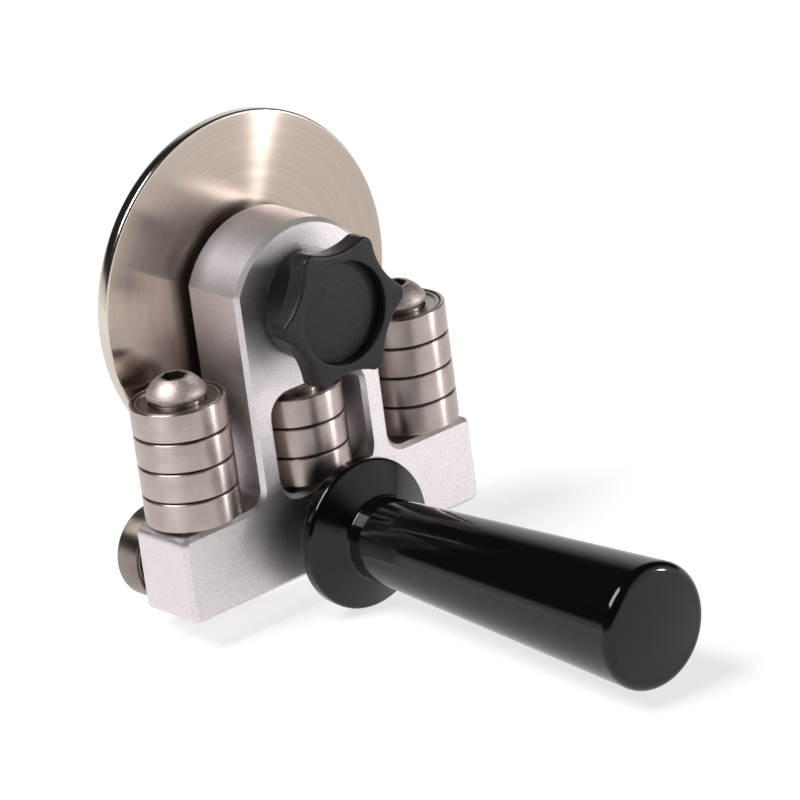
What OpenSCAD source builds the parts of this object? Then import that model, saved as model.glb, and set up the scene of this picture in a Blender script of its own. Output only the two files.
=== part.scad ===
// Hand-held disc bender. An aluminium block carries three stacks of ball bearings, which press the edge
// of a sheet against a turning steel disc, and two rollers, which carry the sheet from below.
// Millimetres. X runs along the block, Y from the handle towards the disc, Z up the bearing stacks.
// The origin is the centre of the block's flat underside.

/* [Block] */
// Height of the low bar, from the underside to its shoulders
block_h = 24.5; // [23:0.5:32]
// Thickness of the block, from its front face to its rear face
block_t = 21; // [20:0.5:24]
// Length of bar beyond the axis of a side stack
block_end = 12.2; // [9:0.2:20]
// Rounding of the bar's corners
block_corner_r = 2.5; // [1.6:0.1:5]
// Rounding between the shoulders and the upright
shoulder_r = 4.5; // [2:0.1:6]
// Wall of the upright beside the window
upright_wall = 6.9; // [5:0.1:10]
// How much the arch's radius exceeds half the upright's width, which makes the crease at its spring
arch_extra = 2.2; // [0.5:0.1:6]
// How far the arch's centre lies below the disc's axis
arch_drop = 2; // [0:0.1:4]
// Clearance between the middle stack and the window's sides
window_gap = 2.6; // [2:0.1:5]
// How far the window's floor lies below the shoulders
window_sink = 1; // [0:0.1:3]
// Rounding of the window's corners
window_r = 5.5; // [2:0.1:8]
// Chamfer along the outline and the window on both faces
edge_chamfer = 1.2; // [0.4:0.1:1.5]

/* [Bearings] */
// Outside diameter of every bearing
bearing_od = 26; // [25:0.5:30]
// Bore of every bearing
bearing_bore = 10; // [8:0.5:11]
// Width of every bearing
bearing_b = 8; // [7.8:0.1:10]
// Diameter of a ball
ball_d = 4.76; // [4.2:0.02:4.9]
// Number of balls in a bearing
ball_count = 7; // [6:1:8]
// Depth of the raceways in the rings' lands
race_depth = 0.78; // [0.5:0.02:1]
// Room between a ball and its raceway or its cage pocket
race_gap = 0.1; // [0.08:0.01:0.15]
// Radial width of a cage
cage_w = 1.8; // [1.2:0.1:2.4]
// Thickness of a cage under its pockets
cage_base = 0.45; // [0.3:0.05:0.6]
// Thickness of a shield
shield_t = 0.3; // [0.2:0.05:0.4]
// Depth of a shield below the bearing's face
shield_recess = 0.35; // [0.2:0.05:0.4]
// Width of the ledge that a shield sits on
shield_ledge = 0.6; // [0.4:0.05:0.9]
// Radial room between a shield and the inner ring
shield_gap = 0.35; // [0.2:0.05:0.6]
// Chamfer on the rings' outer edges
ring_chamfer = 0.4; // [0.2:0.05:0.8]

/* [Stacks] */
// Clearance between a side stack and the upright
stack_gap = 3.3; // [2:0.1:10]
// How far the stacks stand forward of the block's middle plane
stack_forward = 0.5; // [0:0.1:2]
// Washer under each stack
base_washer_t = 1.2; // [0.6:0.1:3]
// Shim between two bearings
shim_t = 0.5; // [0.3:0.1:1.5]
// Washer under a screw's head
head_washer_t = 1; // [0.6:0.1:2]
// Spacer between the middle stack and the top of the window
top_spacer_t = 2.3; // [1.5:0.1:5]
// How far a washer or head stays inside the inner ring's edge
washer_inset = 0.3; // [0.1:0.05:0.6]
// Diameter of a stack screw's button head
stack_head_d = 16.2; // [15:0.2:18]
// Height of a stack screw's button head
stack_head_h = 5.2; // [4:0.1:6]
// Diameter of the flat on top of a button head
stack_head_flat_d = 8.4; // [7:0.2:9]
// Depth of a stack screw in the block
stack_screw_depth = 7.2; // [5:0.1:7.6]
// Depth of the middle axle in the bridge over the window
axle_socket = 9; // [4:0.5:11]

/* [Rollers] */
// Spacer between a roller bearing and the block's rear face
roller_spacer_t = 1; // [0.5:0.1:3]
// Diameter of a roller screw's thread
roller_thread_d = 8; // [5:0.5:8]
// Depth of a roller screw in the block
roller_screw_depth = 13; // [8:0.5:15]
// Height of a roller screw's head
roller_head_h = 4.4; // [3.6:0.1:8]

/* [Sockets] */
// Width across flats of the hexagon socket in every screw
socket_af = 6; // [4:0.5:6]
// Depth of the hexagon sockets
socket_depth = 3.2; // [2:0.1:3.4]

/* [Disc] */
// Radius of the disc
disc_r = 48.1; // [45:0.1:60]
// Thickness of the disc, whose rim is fully rounded
disc_t = 5.3; // [4:0.1:8]
// Height of the disc's rim above the shoulders, where the sheet passes
rim_gap = 2.35; // [1:0.05:6]
// Slot for the sheet between the bearings and the disc's face
sheet_slot = 0.9; // [0.4:0.05:3]
// Lip of the hub in front of the disc's bearing
hub_lip = 2; // [1.5:0.1:4]
// Wall of the hub around its bearing
hub_wall = 5; // [3:0.2:10]
// Hub behind the retaining ring
hub_end = 1.4; // [1:0.1:4]
// Thickness of the retaining ring
retainer_t = 1.2; // [0.8:0.1:2]
// Depth of the retaining ring's groove
retainer_groove = 0.6; // [0.4:0.05:1]
// Radial width of the retaining ring
retainer_w = 1.9; // [1.6:0.1:2.3]
// Opening between the ends of the retaining ring
retainer_opening = 8; // [4:0.5:12]
// Height of the axle's head behind the disc
axle_head_h = 6; // [5:0.2:10]

/* [Knob] */
// Radius at the tips of the knob's lobes
knob_tip_r = 20.9; // [20:0.1:26]
// Number of lobes
knob_lobes = 6; // [5:1:8]
// Radius of the hollows between the lobes
flute_r = 20; // [12:0.5:26]
// Depth of the hollows between the lobes
flute_depth = 4.2; // [2:0.1:4.6]
// Turn of the knob at rest, clockwise as the user sees it
knob_rest_turn = 2; // [0:1:59]
// Height of the lobed rim
lobe_h = 6.3; // [5:0.1:12]
// Height of the boss between the washer and the lobes
boss_h = 8.7; // [8:0.1:16]
// Radius of the boss
boss_r = 15; // [12:0.1:16]
// Radius of the round cap
cap_r = 14; // [10:0.1:14.2]
// Thickness of the cap
cap_t = 1.5; // [1:0.1:2.5]
// Depth of the cap below the knob's front
cap_recess = 2.8; // [1:0.1:3]
// Wall of the knob's threaded insert
insert_wall = 2.5; // [1.5:0.1:3]
// Length of the knob's insert
insert_l = 9; // [7:0.5:9]
// Thread of the axle held in the insert
axle_grip = 8; // [5:0.5:8.5]
// Thickness of the washer under the knob
knob_washer_t = 1.5; // [1:0.1:3]

/* [Handle] */
// Height of the handle's axis above the underside
handle_z = 11.2; // [10:0.2:13]
// Radius of the collar between the block and the guard
collar_r = 11.8; // [10:0.1:12.5]
// Length of the collar
collar_l = 9.3; // [6:0.1:20]
// Radius of the guard
guard_r = 20.7; // [16:0.1:28]
// Thickness of the guard
guard_t = 5; // [3.2:0.2:8]
// Rounding of the guard's edges
guard_edge_r = 1.4; // [0.5:0.1:1.5]
// Slope of the guard's front, which rises towards the grip
guard_slope = 27; // [0:1:35]
// Radius of the grip at the guard
grip_r = 11.1; // [9:0.1:15]
// Radius of the grip at its far end
grip_end_r = 17; // [13:0.1:19]
// Length of the grip between the guard and its rounded end
grip_l = 108.6; // [80:0.2:140]
// Rounding of the grip's end
end_edge_r = 3; // [1:0.1:6]
// Height of the domed end face
dome_h = 1.2; // [0.5:0.1:5]
// Diameter of the handle's stud
stud_d = 8; // [5:0.5:8]
// Length of the stud inside the grip
stud_in_grip = 22; // [12:1:30]
// Block left behind the stud's tip
stud_rear_wall = 4; // [2:0.5:6]
// Wall of the handle's threaded insert
handle_insert_wall = 3; // [2:0.2:4]

/* [Fits] */
// Clearance around a piece that is fixed in its seat
fit_c = 0.02; // [0.01:0.01:0.05]
// Running clearance around a turning shaft or thread
run_c = 0.05; // [0.03:0.01:0.1]
// Room beyond the end of a pin in its hole
end_c = 0.3; // [0.2:0.05:0.5]

/* [Hidden] */
$fn = 96;
side_count = 4;
middle_count = 3;
sides = [-1, 1];
// Length by which a cutter passes the face that it cuts
over = 1;

bearing_r = bearing_od / 2;
bore_r = bearing_bore / 2;
shaft_r = bore_r - fit_c;
ball_r = ball_d / 2;
pitch_r = (bearing_r + bore_r) / 2;
outer_land_r = pitch_r + ball_r - race_depth;
inner_land_r = pitch_r - ball_r + race_depth;
shield_seat_r = outer_land_r + shield_ledge;
shield_seat_depth = shield_recess + shield_t;
washer_r = inner_land_r - washer_inset;

bearing_pitch = bearing_b + shim_t;
window_floor_z = block_h - window_sink;
middle_top_z = window_floor_z + base_washer_t + middle_count * bearing_pitch - shim_t;
side_top_z = block_h + base_washer_t + side_count * bearing_pitch - shim_t;
stack_y = -stack_forward;

front_y = -block_t / 2;
rear_y = block_t / 2;
window_w = bearing_od + 2 * window_gap;
window_top_z = middle_top_z + top_spacer_t;
upright_w = window_w + 2 * upright_wall;
stack_x = upright_w / 2 + stack_gap + bearing_r;
block_w = 2 * (stack_x + block_end);
corner_x = block_w / 2 - block_corner_r;

disc_z = block_h + rim_gap + disc_r;
disc_front_y = stack_y + bearing_r + sheet_slot;
disc_seat_y = disc_front_y + hub_lip;
retainer_y = disc_seat_y + bearing_b;
hub_rear_y = retainer_y + retainer_t + hub_end;
hub_r = bearing_r + hub_wall;
arch_z = disc_z - arch_drop;
arch_r = upright_w / 2 + arch_extra;
crease_z = arch_z + sqrt(pow(arch_r, 2) - pow(upright_w / 2, 2));
arch_top_z = arch_z + arch_r;

roller_x = stack_x;
roller_z = block_h - bearing_r;
roller_y = rear_y + roller_spacer_t;
roller_head_y = roller_y + bearing_b;

knob_y = front_y - knob_washer_t;
knob_h = boss_h + lobe_h;
cap_seat_h = knob_h - cap_recess - cap_t;
flute_axis_r = knob_tip_r - flute_depth + flute_r;
insert_r = bore_r + insert_wall;

guard_h = collar_l + guard_t;
guard_face_r = guard_r - guard_edge_r * (1 - sin(guard_slope));
guard_face_h = guard_h - guard_edge_r * (1 - cos(guard_slope));
guard_peak_h = guard_face_h + (guard_face_r - grip_r) * tan(guard_slope);
grip_h = guard_h + grip_l;
end_h = grip_h + end_edge_r + dome_h;
dome_rim_r = grip_end_r - end_edge_r;
dome_r = (pow(dome_rim_r, 2) + pow(dome_h, 2)) / (2 * dome_h);
stud_r = stud_d / 2;
stud_l = stud_in_grip + block_t - stud_rear_wall;
handle_insert_r = stud_r + handle_insert_wall;

aluminium = "#C9C7C8";
steel = "#B7ABA2";
ground_steel = "#A79F99";
screw_steel = "#A8A19B";
brass = "#C2A14E";
black_plastic = "#38363A";
black_gloss = "#0E0D10";
cage_plastic = "#6B4A2E";

// A straight round bar along Y
module rod_y(x, z, y0, y1, r) {
    translate([x, y0, z]) rotate([-90, 0, 0]) cylinder(h = y1 - y0, r = r);
}

// A cone along Y, from radius ra at y0 to radius rb at y1
module cone_y(x, z, y0, y1, ra, rb) {
    translate([x, y0, z]) rotate([-90, 0, 0]) cylinder(h = y1 - y0, r1 = ra, r2 = rb);
}

// An outline drawn in X and Z, made into a slab from y0 to y1
module slab_y(y0, y1) {
    translate([0, y1, 0]) rotate([90, 0, 0]) linear_extrude(height = y1 - y0) children();
}

// Local +Z turned to run rearwards along Y
module facing_rear(x, y, z) {
    translate([x, y, z]) rotate([-90, 0, 0]) children();
}

// Local +Z turned to run forwards, towards the user
module facing_front(x, y, z) {
    translate([x, y, z]) rotate([90, 0, 0]) children();
}

// A flat washer on the Z axis
module washer(r, bore, t) {
    difference() {
        cylinder(h = t, r = r);
        translate([0, 0, -over]) cylinder(h = t + 2 * over, r = bore);
    }
}

// A hexagon socket, cut downwards from z = 0
module hex_socket() {
    translate([0, 0, -socket_depth]) cylinder(h = socket_depth + over, r = socket_af / sqrt(3), $fn = 6);
}

// One bearing stands on z = 0 along the Z axis

module raceway() {
    translate([0, 0, bearing_b / 2]) rotate_extrude() translate([pitch_r, 0]) circle(r = ball_r + race_gap);
}

module outer_ring() {
    difference() {
        rotate_extrude() polygon([
            [outer_land_r, shield_seat_depth],
            [shield_seat_r, shield_seat_depth],
            [shield_seat_r, 0],
            [bearing_r - ring_chamfer, 0],
            [bearing_r, ring_chamfer],
            [bearing_r, bearing_b - ring_chamfer],
            [bearing_r - ring_chamfer, bearing_b],
            [shield_seat_r, bearing_b],
            [shield_seat_r, bearing_b - shield_seat_depth],
            [outer_land_r, bearing_b - shield_seat_depth]
        ]);
        raceway();
    }
}

module inner_ring() {
    difference() {
        washer(inner_land_r, bore_r, bearing_b);
        raceway();
    }
}

module shield_pair() {
    for (z = [shield_recess, bearing_b - shield_recess - shield_t])
        translate([0, 0, z]) washer(shield_seat_r - fit_c, inner_land_r + shield_gap, shield_t);
}

module ball_ring(r) {
    for (i = [0:ball_count - 1])
        rotate(i * 360 / ball_count) translate([pitch_r, 0, bearing_b / 2]) sphere(r = r);
}

module cage() {
    cage_low = bearing_b / 2 - ball_r - race_gap - cage_base;
    difference() {
        translate([0, 0, cage_low])
            washer(pitch_r + cage_w / 2, pitch_r - cage_w / 2, bearing_b / 2 - cage_low + cage_base);
        ball_ring(ball_r + race_gap);
    }
}

// Places for the bearings

module at_side_bearing(s, i) {
    translate([s * stack_x, stack_y, block_h + base_washer_t + (i - 1) * bearing_pitch]) children();
}

module at_middle_bearing(i) {
    translate([0, stack_y, window_floor_z + base_washer_t + (i - 1) * bearing_pitch]) children();
}

module at_all_stack_bearings() {
    for (s = sides, i = [1:side_count]) at_side_bearing(s, i) children();
    for (i = [1:middle_count]) at_middle_bearing(i) children();
}

module at_roller(s) {
    facing_rear(s * roller_x, roller_y, roller_z) children();
}

module at_disc_bearing() {
    facing_rear(0, disc_seat_y, disc_z) children();
}

// The block

module block_outline() {
    translate([-block_w / 2, block_corner_r]) square([block_w, block_h - 2 * block_corner_r]);
    translate([-corner_x, 0]) square([2 * corner_x, block_h]);
    for (s = sides, z = [block_corner_r, block_h - block_corner_r])
        translate([s * corner_x, z]) circle(r = block_corner_r);
    translate([-upright_w / 2, 0]) square([upright_w, crease_z]);
    intersection() {
        translate([0, arch_z]) circle(r = arch_r);
        translate([-upright_w / 2, arch_z]) square([upright_w, arch_r + over]);
    }
    for (s = sides) shoulder_fillet(s);
}

module shoulder_fillet(s) {
    fillet_x = s * (upright_w / 2 + shoulder_r / 2);
    difference() {
        translate([fillet_x, block_h + shoulder_r / 2]) square(shoulder_r, center = true);
        translate([s * (upright_w / 2 + shoulder_r), block_h + shoulder_r]) circle(r = shoulder_r);
    }
}

module window_outline() {
    window_h = window_top_z - window_floor_z;
    translate([-window_w / 2, window_floor_z + window_r]) square([window_w, window_h - 2 * window_r]);
    translate([window_r - window_w / 2, window_floor_z]) square([window_w - 2 * window_r, window_h]);
    for (s = sides, z = [window_floor_z + window_r, window_top_z - window_r])
        translate([s * (window_w / 2 - window_r), z]) circle(r = window_r);
}

// Section of a chamfer cutter: the edge is at the origin, and s is the way out of the block
module chamfer_section(s) {
    reach = edge_chamfer + over;
    polygon([[s * over, -over], [-s * reach, -over], [s * over, reach]]);
}

// A box given by its lowest and highest corners
module box(low, high) {
    translate(low) cube(high - low);
}

// Chamfer along the outline on the front face, on one side, from the arch round to the underside
module outline_chamfer(s) {
    fillet_x = upright_w / 2 + shoulder_r;
    // the side of the upright
    translate([s * upright_w / 2, front_y, block_h + shoulder_r])
        linear_extrude(height = crease_z - block_h - shoulder_r) chamfer_section(s);
    // the shoulder
    translate([s * (fillet_x + corner_x) / 2, front_y, block_h]) rotate([0, -90, 0])
        linear_extrude(height = corner_x - fillet_x, center = true) chamfer_section(1);
    // the end
    translate([s * block_w / 2, front_y, block_corner_r])
        linear_extrude(height = block_h - 2 * block_corner_r) chamfer_section(s);
    // the underside
    translate([s * corner_x / 2, front_y, 0]) rotate([0, -90, 0])
        linear_extrude(height = corner_x, center = true) chamfer_section(-1);
    mirror([s > 0 ? 0 : 1, 0, 0]) {
        fillet_chamfer(fillet_x);
        for (top = [false, true]) corner_chamfer(top);
    }
}

// Chamfer round the fillet under the upright's right side
module fillet_chamfer(fillet_x) {
    intersection() {
        box([upright_w / 2 - edge_chamfer - over, front_y - over, block_h - edge_chamfer - over],
            [fillet_x, front_y + edge_chamfer, block_h + shoulder_r]);
        cone_y(fillet_x, block_h + shoulder_r, front_y - over, front_y + edge_chamfer,
            shoulder_r + edge_chamfer + over, shoulder_r);
    }
}

// Chamfer round a corner of the bar's right end, at the shoulder or at the underside
module corner_chamfer(top) {
    cut_y = front_y + edge_chamfer;
    corner_z = top ? block_h - block_corner_r : block_corner_r;
    low_z = top ? corner_z : -over;
    difference() {
        box([corner_x, front_y - over, low_z], [block_w / 2 + over, cut_y, low_z + block_corner_r + over]);
        cone_y(corner_x, corner_z, cut_y - block_corner_r, cut_y, 0, block_corner_r);
    }
}

module arch_chamfer() {
    cut_y = front_y + edge_chamfer;
    difference() {
        box([-upright_w / 2 - over, front_y - over, crease_z], [upright_w / 2 + over, cut_y, arch_top_z + over]);
        cone_y(0, arch_z, front_y - over, cut_y, arch_r - edge_chamfer - over, arch_r);
    }
}

module window_chamfer() {
    cut_y = front_y + edge_chamfer;
    inner_x = window_w / 2 - window_r;
    low_z = window_floor_z + window_r;
    high_z = window_top_z - window_r;
    wide = window_r + edge_chamfer + over;
    for (x = [-inner_x, inner_x], z = [low_z, high_z])
        cone_y(x, z, front_y - over, cut_y, wide, window_r);
    // between the corners, across and upright
    translate([-inner_x, 0, 0]) rotate([90, 0, 90]) linear_extrude(height = 2 * inner_x) polygon([
        [front_y - over, low_z - wide],
        [cut_y, low_z - window_r],
        [cut_y, high_z + window_r],
        [front_y - over, high_z + wide]
    ]);
    translate([0, 0, low_z]) linear_extrude(height = high_z - low_z) polygon([
        [-inner_x - wide, front_y - over],
        [-inner_x - window_r, cut_y],
        [inner_x + window_r, cut_y],
        [inner_x + wide, front_y - over]
    ]);
}

module block_bores() {
    // side stack screws
    for (s = sides)
        translate([s * stack_x, stack_y, block_h - stack_screw_depth - end_c])
            cylinder(h = stack_screw_depth + end_c + over, r = bore_r);
    // middle axle, through the bar and into the bridge
    translate([0, stack_y, -over]) cylinder(h = block_h + 2 * over, r = bore_r);
    translate([0, stack_y, window_top_z - over]) cylinder(h = axle_socket + end_c + over, r = bore_r);
    // roller screws
    for (s = sides)
        rod_y(s * roller_x, roller_z, rear_y - roller_screw_depth - end_c, rear_y + over, roller_thread_d / 2);
    // handle stud
    rod_y(0, handle_z, front_y - over, rear_y - stud_rear_wall + end_c, stud_r);
    // disc axle
    rod_y(0, disc_z, front_y - over, rear_y + over, bore_r);
}

module body_block() {
    color(aluminium) difference() {
        slab_y(front_y, rear_y) block_outline();
        slab_y(front_y - over, rear_y + over) window_outline();
        for (flip = [0, 1]) mirror([0, flip, 0]) {
            for (s = sides) outline_chamfer(s);
            arch_chamfer();
            window_chamfer();
        }
        block_bores();
    }
}

// The handle, turned about an axis that runs forwards from the block

module grip_profile() {
    square([collar_r, collar_l]);
    // the guard, whose sloping front is tangent to its rounded edge
    for (h = [collar_l + guard_edge_r, guard_h - guard_edge_r])
        translate([guard_r - guard_edge_r, h]) circle(r = guard_edge_r);
    polygon([
        [0, collar_l],
        [guard_r - guard_edge_r, collar_l],
        [guard_r, collar_l + guard_edge_r],
        [guard_r, guard_h - guard_edge_r],
        [guard_face_r, guard_face_h],
        [grip_r, guard_peak_h],
        [0, guard_peak_h]
    ]);
    // the tapering grip and its domed end
    polygon([[0, guard_h], [grip_r, guard_h], [grip_end_r, grip_h], [0, grip_h]]);
    translate([0, grip_h]) square([dome_rim_r, end_edge_r]);
    intersection() {
        translate([dome_rim_r, grip_h]) circle(r = end_edge_r);
        translate([0, grip_h]) square([grip_end_r, end_edge_r]);
    }
    intersection() {
        translate([0, end_h - dome_r]) circle(r = dome_r);
        translate([0, grip_h]) square([dome_rim_r, end_edge_r + dome_h]);
    }
}

module handle_grip() {
    color(black_gloss) facing_front(0, front_y, handle_z) difference() {
        rotate_extrude() grip_profile();
        translate([0, 0, -over]) cylinder(h = stud_in_grip + end_c + over, r = handle_insert_r + fit_c);
    }
}

module handle_insert() {
    color(brass) facing_front(0, front_y, handle_z) washer(handle_insert_r, stud_r, stud_in_grip);
}

module handle_stud() {
    color(screw_steel) rod_y(0, handle_z, front_y - stud_in_grip, front_y - stud_in_grip + stud_l, stud_r - fit_c);
}

// The stacks

module stack_screw(s) {
    shank_l = stack_screw_depth + side_top_z + head_washer_t - block_h;
    color(screw_steel) translate([s * stack_x, stack_y, side_top_z + head_washer_t]) difference() {
        union() {
            translate([0, 0, -shank_l]) cylinder(h = shank_l, r = shaft_r);
            button_head(stack_head_d / 2, stack_head_flat_d / 2, stack_head_h);
        }
        translate([0, 0, stack_head_h]) hex_socket();
    }
}

// A button head: a dome from its rim, which is a fifth of its height, to its flat top
module button_head(r, flat_r, h) {
    rim_h = h / 5;
    dome_c = (pow(flat_r, 2) - pow(r, 2) + pow(h, 2) - pow(rim_h, 2)) / (2 * (h - rim_h));
    dome = sqrt(pow(r, 2) + pow(rim_h - dome_c, 2));
    rotate_extrude() intersection() {
        translate([0, dome_c]) circle(r = dome);
        square([r, h]);
    }
}

module left_stack_screw() {
    stack_screw(-1);
}

module right_stack_screw() {
    stack_screw(1);
}

module middle_stack_axle() {
    color(screw_steel) difference() {
        translate([0, stack_y, 0]) cylinder(h = window_top_z + axle_socket, r = shaft_r);
        rod_y(0, handle_z, front_y, rear_y, stud_r + run_c);
    }
}

// The base washer of a stack, its shims and the washer on top, from its floor upwards
module stack_washers(count, top_t) {
    washer(washer_r, bore_r, base_washer_t);
    for (i = [1:count - 1])
        translate([0, 0, base_washer_t + i * bearing_pitch - shim_t]) washer(washer_r, bore_r, shim_t);
    translate([0, 0, base_washer_t + count * bearing_pitch - shim_t]) washer(washer_r, bore_r, top_t);
}

module side_stack_washers(s) {
    color(ground_steel) translate([s * stack_x, stack_y, block_h]) stack_washers(side_count, head_washer_t);
}

module left_stack_washers() {
    side_stack_washers(-1);
}

module right_stack_washers() {
    side_stack_washers(1);
}

module middle_stack_washers() {
    color(ground_steel) translate([0, stack_y, window_floor_z]) stack_washers(middle_count, top_spacer_t);
}

module stack_inner_rings() {
    color(steel) at_all_stack_bearings() inner_ring();
}

module stack_balls() {
    color(steel) at_all_stack_bearings() ball_ring(ball_r);
}

module stack_cages() {
    color(cage_plastic) at_all_stack_bearings() cage();
}

module left_ring(i) {
    color(steel) at_side_bearing(-1, i) outer_ring();
}

module left_shields(i) {
    color(ground_steel) at_side_bearing(-1, i) shield_pair();
}

module right_ring(i) {
    color(steel) at_side_bearing(1, i) outer_ring();
}

module right_shields(i) {
    color(ground_steel) at_side_bearing(1, i) shield_pair();
}

module middle_ring(i) {
    color(steel) at_middle_bearing(i) outer_ring();
}

module middle_shields(i) {
    color(ground_steel) at_middle_bearing(i) shield_pair();
}

// The rollers

module roller_screws() {
    color(screw_steel) for (s = sides) difference() {
        union() {
            rod_y(s * roller_x, roller_z, rear_y - roller_screw_depth, rear_y, roller_thread_d / 2 - fit_c);
            rod_y(s * roller_x, roller_z, rear_y, roller_head_y, shaft_r);
            rod_y(s * roller_x, roller_z, roller_head_y, roller_head_y + roller_head_h, washer_r);
        }
        facing_rear(s * roller_x, roller_head_y + roller_head_h, roller_z) hex_socket();
    }
}

module roller_spacers() {
    color(ground_steel) for (s = sides)
        facing_rear(s * roller_x, rear_y, roller_z) washer(washer_r, bore_r, roller_spacer_t);
}

module roller_inner_rings() {
    color(steel) for (s = sides) at_roller(s) inner_ring();
}

module roller_balls() {
    color(steel) for (s = sides) at_roller(s) ball_ring(ball_r);
}

module roller_cages() {
    color(cage_plastic) for (s = sides) at_roller(s) cage();
}

module left_roller_ring() {
    color(steel) at_roller(-1) outer_ring();
}

module left_roller_shields() {
    color(ground_steel) at_roller(-1) shield_pair();
}

module right_roller_ring() {
    color(steel) at_roller(1) outer_ring();
}

module right_roller_shields() {
    color(ground_steel) at_roller(1) shield_pair();
}

// The disc, turned about an axis that runs rearwards from its front face

module bending_disc() {
    hub_h = hub_rear_y - disc_front_y;
    color(steel) facing_rear(0, disc_front_y, disc_z) difference() {
        rotate_extrude() {
            square([disc_r - disc_t / 2, disc_t]);
            translate([disc_r - disc_t / 2, disc_t / 2]) circle(r = disc_t / 2);
            square([hub_r, hub_h]);
        }
        translate([0, 0, -over]) cylinder(h = hub_h, r = shield_seat_r + fit_c);
        translate([0, 0, hub_lip]) cylinder(h = hub_h, r = bearing_r + fit_c);
        translate([0, 0, retainer_y - disc_front_y]) cylinder(h = retainer_t, r = bearing_r + retainer_groove);
    }
}

module disc_outer_ring() {
    color(steel) at_disc_bearing() outer_ring();
}

module disc_shields() {
    color(ground_steel) at_disc_bearing() shield_pair();
}

module disc_retaining_ring() {
    ring_r = bearing_r + retainer_groove - fit_c;
    color(screw_steel) facing_rear(0, retainer_y, disc_z) difference() {
        washer(ring_r, bearing_r - retainer_w, retainer_t);
        translate([-retainer_opening / 2, 0, -over]) cube([retainer_opening, ring_r + over, retainer_t + 2 * over]);
    }
}

module disc_axle() {
    color(screw_steel) difference() {
        union() {
            rod_y(0, disc_z, knob_y - axle_grip, retainer_y, shaft_r);
            rod_y(0, disc_z, retainer_y, retainer_y + axle_head_h, washer_r);
        }
        facing_rear(0, retainer_y + axle_head_h, disc_z) hex_socket();
    }
}

module disc_spacer() {
    color(ground_steel) facing_rear(0, rear_y, disc_z) washer(washer_r, bore_r, disc_seat_y - rear_y);
}

module disc_inner_ring() {
    color(steel) at_disc_bearing() inner_ring();
}

module disc_balls() {
    color(steel) at_disc_bearing() ball_ring(ball_r);
}

module disc_cage() {
    color(cage_plastic) at_disc_bearing() cage();
}

// The clamping knob, on an axis that runs forwards from the upright

module knob_washer() {
    color(ground_steel) facing_front(0, front_y, disc_z) washer(boss_r, shaft_r + run_c, knob_washer_t);
}

module lobe_outline() {
    difference() {
        circle(r = knob_tip_r);
        for (i = [0:knob_lobes - 1])
            rotate((i + 0.5) * 360 / knob_lobes - knob_rest_turn) translate([flute_axis_r, 0]) circle(r = flute_r);
    }
}

module knob_body() {
    color(black_plastic) facing_front(0, knob_y, disc_z) difference() {
        union() {
            cylinder(h = boss_h + over, r = boss_r);
            translate([0, 0, boss_h]) linear_extrude(height = lobe_h) lobe_outline();
        }
        translate([0, 0, cap_seat_h]) cylinder(h = knob_h, r = cap_r + fit_c);
        translate([0, 0, -over]) cylinder(h = insert_l + end_c + over, r = insert_r + fit_c);
    }
}

module knob_insert() {
    color(brass) facing_front(0, knob_y, disc_z) washer(insert_r, shaft_r + run_c, insert_l);
}

module knob_cap() {
    color(black_plastic) facing_front(0, knob_y - cap_seat_h, disc_z) cylinder(h = cap_t, r = cap_r);
}

body_block();
handle_grip();
handle_insert();
handle_stud();
left_stack_screw();
right_stack_screw();
middle_stack_axle();
left_stack_washers();
right_stack_washers();
middle_stack_washers();
stack_inner_rings();
stack_balls();
stack_cages();
for (i = [1:side_count]) {
    left_ring(i);
    left_shields(i);
    right_ring(i);
    right_shields(i);
}
for (i = [1:middle_count]) {
    middle_ring(i);
    middle_shields(i);
}
roller_screws();
roller_spacers();
roller_inner_rings();
roller_balls();
roller_cages();
left_roller_ring();
left_roller_shields();
right_roller_ring();
right_roller_shields();
bending_disc();
disc_outer_ring();
disc_shields();
disc_retaining_ring();
disc_axle();
disc_spacer();
disc_inner_ring();
disc_balls();
disc_cage();
knob_washer();
knob_body();
knob_insert();
knob_cap();
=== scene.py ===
"""The looks of a hand-held disc bender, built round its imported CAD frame.

X runs along the block, Y from the handle towards the disc and Z up the bearing stacks. Meshes are drawn in
millimetres and scaled to metres when they are put in place.
"""

from __future__ import annotations

import logging
import math
from collections.abc import Iterable, Sequence
from dataclasses import dataclass
from enum import Enum

import bmesh
import bpy
from mathutils import Matrix, Vector

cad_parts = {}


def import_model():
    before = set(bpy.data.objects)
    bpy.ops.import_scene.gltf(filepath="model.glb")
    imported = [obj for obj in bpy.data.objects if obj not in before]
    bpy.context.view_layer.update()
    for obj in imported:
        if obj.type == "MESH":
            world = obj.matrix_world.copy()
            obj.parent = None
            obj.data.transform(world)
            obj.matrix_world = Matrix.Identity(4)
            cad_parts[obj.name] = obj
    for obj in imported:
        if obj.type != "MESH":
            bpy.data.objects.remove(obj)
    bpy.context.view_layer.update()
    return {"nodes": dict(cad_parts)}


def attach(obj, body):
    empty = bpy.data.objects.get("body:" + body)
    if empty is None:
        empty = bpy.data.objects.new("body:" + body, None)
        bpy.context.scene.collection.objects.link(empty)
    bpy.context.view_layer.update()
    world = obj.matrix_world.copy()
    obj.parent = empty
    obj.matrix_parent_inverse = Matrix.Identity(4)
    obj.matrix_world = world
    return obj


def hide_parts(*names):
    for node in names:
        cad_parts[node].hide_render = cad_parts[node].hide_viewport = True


log = logging.getLogger("disc_bender")

MM = 0.001
MERGE_MM = 0.0005
NEAR_MM = 0.001
SHARP_ANGLE = math.radians(20)
ROUND_STEPS = 6
EDGE_BREAK_MM = 0.12
BLOCK_BODY = "block"


class Axis(Enum):
    """The axis that a ground piece was made about."""

    Y = (0.0, 1.0, 0.0)
    Z = (0.0, 0.0, 1.0)


class Side(Enum):
    """A side of the block, as the user sees it."""

    LEFT = -1
    RIGHT = 1

    @property
    def word(self) -> str:
        """The side's name in a node or a body."""
        return self.name.lower()


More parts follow.
